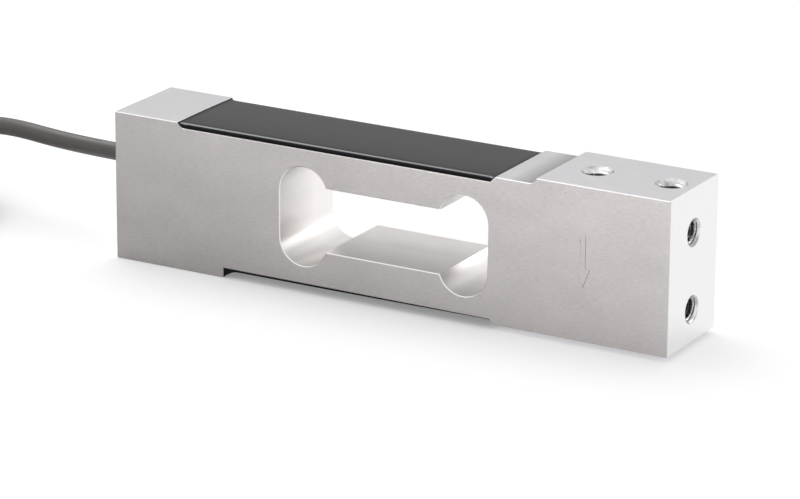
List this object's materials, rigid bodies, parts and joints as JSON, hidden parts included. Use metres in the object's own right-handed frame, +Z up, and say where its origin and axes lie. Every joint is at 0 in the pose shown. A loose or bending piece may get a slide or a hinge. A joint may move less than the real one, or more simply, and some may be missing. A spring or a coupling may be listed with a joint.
{
  "type": "single point load cell",
  "caption": "Aluminium single point load cell: a flat beam with a lobed window, potted gauges, tapped mounting holes and a short cable.",
  "frame": {"origin": "under the middle of the bar, on the plane of the fixed pad", "axes": "+X from the fixed end to the load end, +Y across the bar away from the face with the arrow, +Z up, against the load"},
  "size_m": [0.2413, 0.0527, 0.0387],
  "materials": {
    "machined_aluminium": "milled and ground, fine lengthwise grain",
    "potting_compound": "poured, glossy black",
    "gauge_polyimide": "amber film",
    "terminal_copper": "etched copper",
    "board_laminate": "glass fibre laminate",
    "resistor_ceramic": "glazed chip",
    "flat_copper_leads": "rolled flat copper",
    "cable_jacket": "extruded dark grey",
    "red_insulation": "extruded",
    "black_insulation": "extruded",
    "green_insulation": "extruded",
    "white_insulation": "extruded",
    "sealing_compound": "satin black",
    "tie_nylon": "moulded black",
    "shrunk_sleeve": "heat shrunk black",
    "tinned_copper": "tinned"
  },
  "bodies": {
    "root": {"beam_body": "machined_aluminium", "top_potting": "potting_compound", "bottom_potting": "potting_compound", "gauge_top_fixed": "gauge_polyimide", "gauge_top_load": "gauge_polyimide", "gauge_bottom_fixed": "gauge_polyimide", "gauge_bottom_load": "gauge_polyimide", "terminal_top_fixed": "terminal_copper", "terminal_top_load": "terminal_copper", "terminal_bottom_fixed": "terminal_copper", "terminal_bottom_load": "terminal_copper", "terminal_board": "board_laminate", "zero_resistor": "resistor_ceramic", "span_resistor": "resistor_ceramic", "temperature_resistor": "resistor_ceramic", "upper_bridge_wires": "flat_copper_leads", "lower_bridge_wires": "flat_copper_leads", "cable_inner_length": "cable_jacket", "inner_core_red": "red_insulation", "inner_core_black": "black_insulation", "inner_core_green": "green_insulation", "inner_core_white": "white_insulation", "cable_seal": "sealing_compound", "cable_lead": "cable_jacket", "cable_coil": "cable_jacket", "cable_tail": "cable_jacket", "cable_tie": "tie_nylon", "end_sleeve": "shrunk_sleeve", "core_red": "red_insulation", "core_black": "black_insulation", "core_green": "green_insulation", "core_white": "white_insulation", "tinned_ends": "tinned_copper", "drain_wire": "tinned_copper"}
  },
  "joints": []
}
